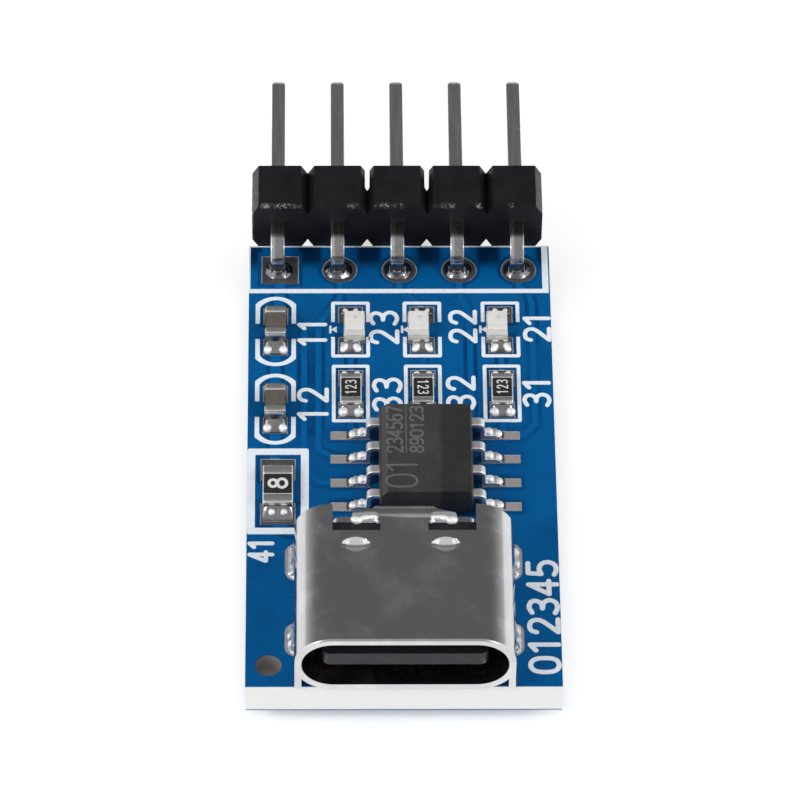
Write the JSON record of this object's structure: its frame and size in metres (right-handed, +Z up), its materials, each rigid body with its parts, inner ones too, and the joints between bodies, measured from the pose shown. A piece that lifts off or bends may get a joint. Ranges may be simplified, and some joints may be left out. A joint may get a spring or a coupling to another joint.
{
  "type": "serial adapter module",
  "caption": "Small blue circuit board that carries data between a reversible metal-shelled socket at one end and a right-angle pin header at the other, with a serial chip and indicator lights.",
  "frame": {"origin": "under the middle of the whole module, level with the tails of the header pins", "axes": "+Y from the socket towards the free ends of the header pins, +Z up out of the board's top, +X to the right seen from the socket"},
  "size_m": [0.0128, 0.032, 0.0058],
  "materials": {
    "board_fibreglass": "pale, slightly translucent, cut edges",
    "board_mask": "glossy blue coating",
    "board_tin": "tinned, dull bright",
    "board_copper": "copper under the blue coating",
    "legend_ink": "printed, slightly bluish",
    "housing_plastic": "moulded, satin",
    "pin_plating": "tinned square wire",
    "solder": "bright solder",
    "shell_steel": "nickel plated, mirror",
    "insulator_plastic": "moulded, satin",
    "contact_plating": "gold plated",
    "mid_plate_steel": "stamped",
    "chip_plastic": "moulded, fine matt",
    "lead_plating": "tinned",
    "die_silicon": "polished",
    "die_pad_copper": "stamped copper",
    "bond_gold": "drawn gold",
    "led_base_plastic": "laminate",
    "led_lens_resin": "milky clear resin",
    "led_die_crystal": "polished",
    "terminal_tin": "tinned ends",
    "resistor_ceramic": "white ceramic",
    "resistor_overcoat": "glossy black coat",
    "capacitor_ceramic": "brown-grey ceramic"
  },
  "bodies": {
    "root": {"board_bottom_mask": "board_mask", "board_core": "board_fibreglass", "board_legend": "legend_ink", "board_pads": "board_tin", "board_top_mask": "board_mask", "board_traces": "board_copper", "capacitor_1_ceramic": "capacitor_ceramic", "capacitor_1_end_caps": "terminal_tin", "capacitor_2_ceramic": "capacitor_ceramic", "capacitor_2_end_caps": "terminal_tin", "chip_body": "chip_plastic", "chip_bond_wires": "bond_gold", "chip_die": "die_silicon", "chip_die_pad": "die_pad_copper", "chip_left_leads": "lead_plating", "chip_right_leads": "lead_plating", "chip_solder": "solder", "fuse_ceramic": "resistor_ceramic", "fuse_end_caps": "terminal_tin", "fuse_overcoat": "resistor_overcoat", "header_housing": "housing_plastic", "header_pin_1": "pin_plating", "header_pin_2": "pin_plating", "header_pin_3": "pin_plating", "header_pin_4": "pin_plating", "header_pin_5": "pin_plating", "header_solder": "solder", "led_1_base": "led_base_plastic", "led_1_die": "led_die_crystal", "led_1_lands": "terminal_tin", "led_1_lens": "led_lens_resin", "led_2_base": "led_base_plastic", "led_2_die": "led_die_crystal", "led_2_lands": "terminal_tin", "led_2_lens": "led_lens_resin", "led_3_base": "led_base_plastic", "led_3_die": "led_die_crystal", "led_3_lands": "terminal_tin", "led_3_lens": "led_lens_resin", "resistor_1_ceramic": "resistor_ceramic", "resistor_1_end_caps": "terminal_tin", "resistor_1_overcoat": "resistor_overcoat", "resistor_2_ceramic": "resistor_ceramic", "resistor_2_end_caps": "terminal_tin", "resistor_2_overcoat": "resistor_overcoat", "resistor_3_ceramic": "resistor_ceramic", "resistor_3_end_caps": "terminal_tin", "resistor_3_overcoat": "resistor_overcoat", "small_part_solder": "solder", "socket_insulator": "insulator_plastic", "socket_leg_solder": "solder", "socket_lower_contacts": "contact_plating", "socket_mid_plate": "mid_plate_steel", "socket_shell": "shell_steel", "socket_tail_solder": "solder", "socket_upper_contacts": "contact_plating"}
  },
  "joints": []
}
